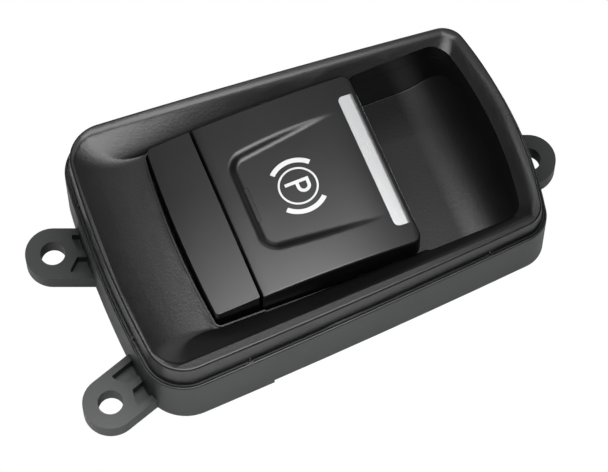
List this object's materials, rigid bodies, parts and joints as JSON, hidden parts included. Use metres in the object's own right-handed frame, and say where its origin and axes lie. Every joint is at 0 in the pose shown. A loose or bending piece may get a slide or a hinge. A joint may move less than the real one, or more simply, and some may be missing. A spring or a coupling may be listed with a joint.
{
  "type": "electric parking brake switch",
  "caption": "Electric parking brake switch: rocking paddle beside a finger well in a sloping bezel, with mounting ears.",
  "frame": {"origin": "on the flat rear rest face, under the middle of the bezel", "axes": "+Z out of the button face, +X along the bezel towards the finger well, +Y across it"},
  "size_m": [0.1248, 0.068, 0.0408],
  "materials": {
    "housing_plastic": "fine moulded texture",
    "bezel_plastic": "fine grain, satin",
    "button_plastic": "satin",
    "trim_metal": "satin chrome",
    "lens_plastic": "smoked",
    "mechanism_plastic": "natural acetal",
    "frame_plastic": "glass filled",
    "bumper_rubber": "moulded",
    "steel": "drawn",
    "magnet": "nickel plated",
    "clear_plastic": "clear moulded",
    "board_laminate": "green solder mask",
    "chip_resin": "moulded resin",
    "lamp_resin": "clear resin",
    "capacitor_ceramic": "ceramic",
    "connector_plastic": "glass filled",
    "tinned_brass": "tin plated",
    "zinc_steel": "zinc plated"
  },
  "bodies": {
    "base": {"housing": "housing_plastic", "bezel": "bezel_plastic", "finger_well": "bezel_plastic", "cover_strip": "button_plastic", "pivot_pin": "steel", "pin_clips": "steel", "mechanism_frame": "frame_plastic", "stop_bumpers": "bumper_rubber", "pull_spring": "steel", "push_spring": "steel", "light_guide": "clear_plastic", "circuit_board": "board_laminate", "controller_chip": "chip_resin", "position_sensors": "chip_resin", "indicator_light": "lamp_resin", "board_capacitors": "capacitor_ceramic", "connector_header": "connector_plastic", "connector_contacts": "tinned_brass", "rear_cover": "housing_plastic", "cover_screws": "zinc_steel", "board_screws": "zinc_steel", "frame_screws": "zinc_steel"},
    "paddle": {"paddle_cap": "button_plastic", "paddle_trim": "trim_metal", "indicator_lens": "lens_plastic", "paddle_carrier": "mechanism_plastic"},
    "pull_plunger": {"pull_plunger": "mechanism_plastic", "pull_magnet": "magnet"},
    "push_plunger": {"push_plunger": "mechanism_plastic", "push_magnet": "magnet"}
  },
  "joints": [
    {"name": "paddle_hinge", "type": "hinge", "parent": "base", "child": "paddle", "pos_m": [-0.0162, 0, 0.0355], "axis": [0, -1, 0], "range_deg": [-4, 6], "stiffness_Nm_per_rad": 0.4},
    {"name": "pull_slide", "type": "slide", "parent": "base", "child": "pull_plunger", "axis": [0, 0, 1], "range_m": [-0.0011, 0.00075], "deforming": ["pull_spring"]},
    {"name": "push_slide", "type": "slide", "parent": "base", "child": "push_plunger", "axis": [0, 0, 1], "range_m": [-0.00075, 0.0011], "deforming": ["push_spring"]}
  ],
  "couplings": [
    {"joint": "pull_slide", "follows": "paddle_hinge", "m_per_rad": -0.01},
    {"joint": "push_slide", "follows": "paddle_hinge", "m_per_rad": 0.01}
  ]
}
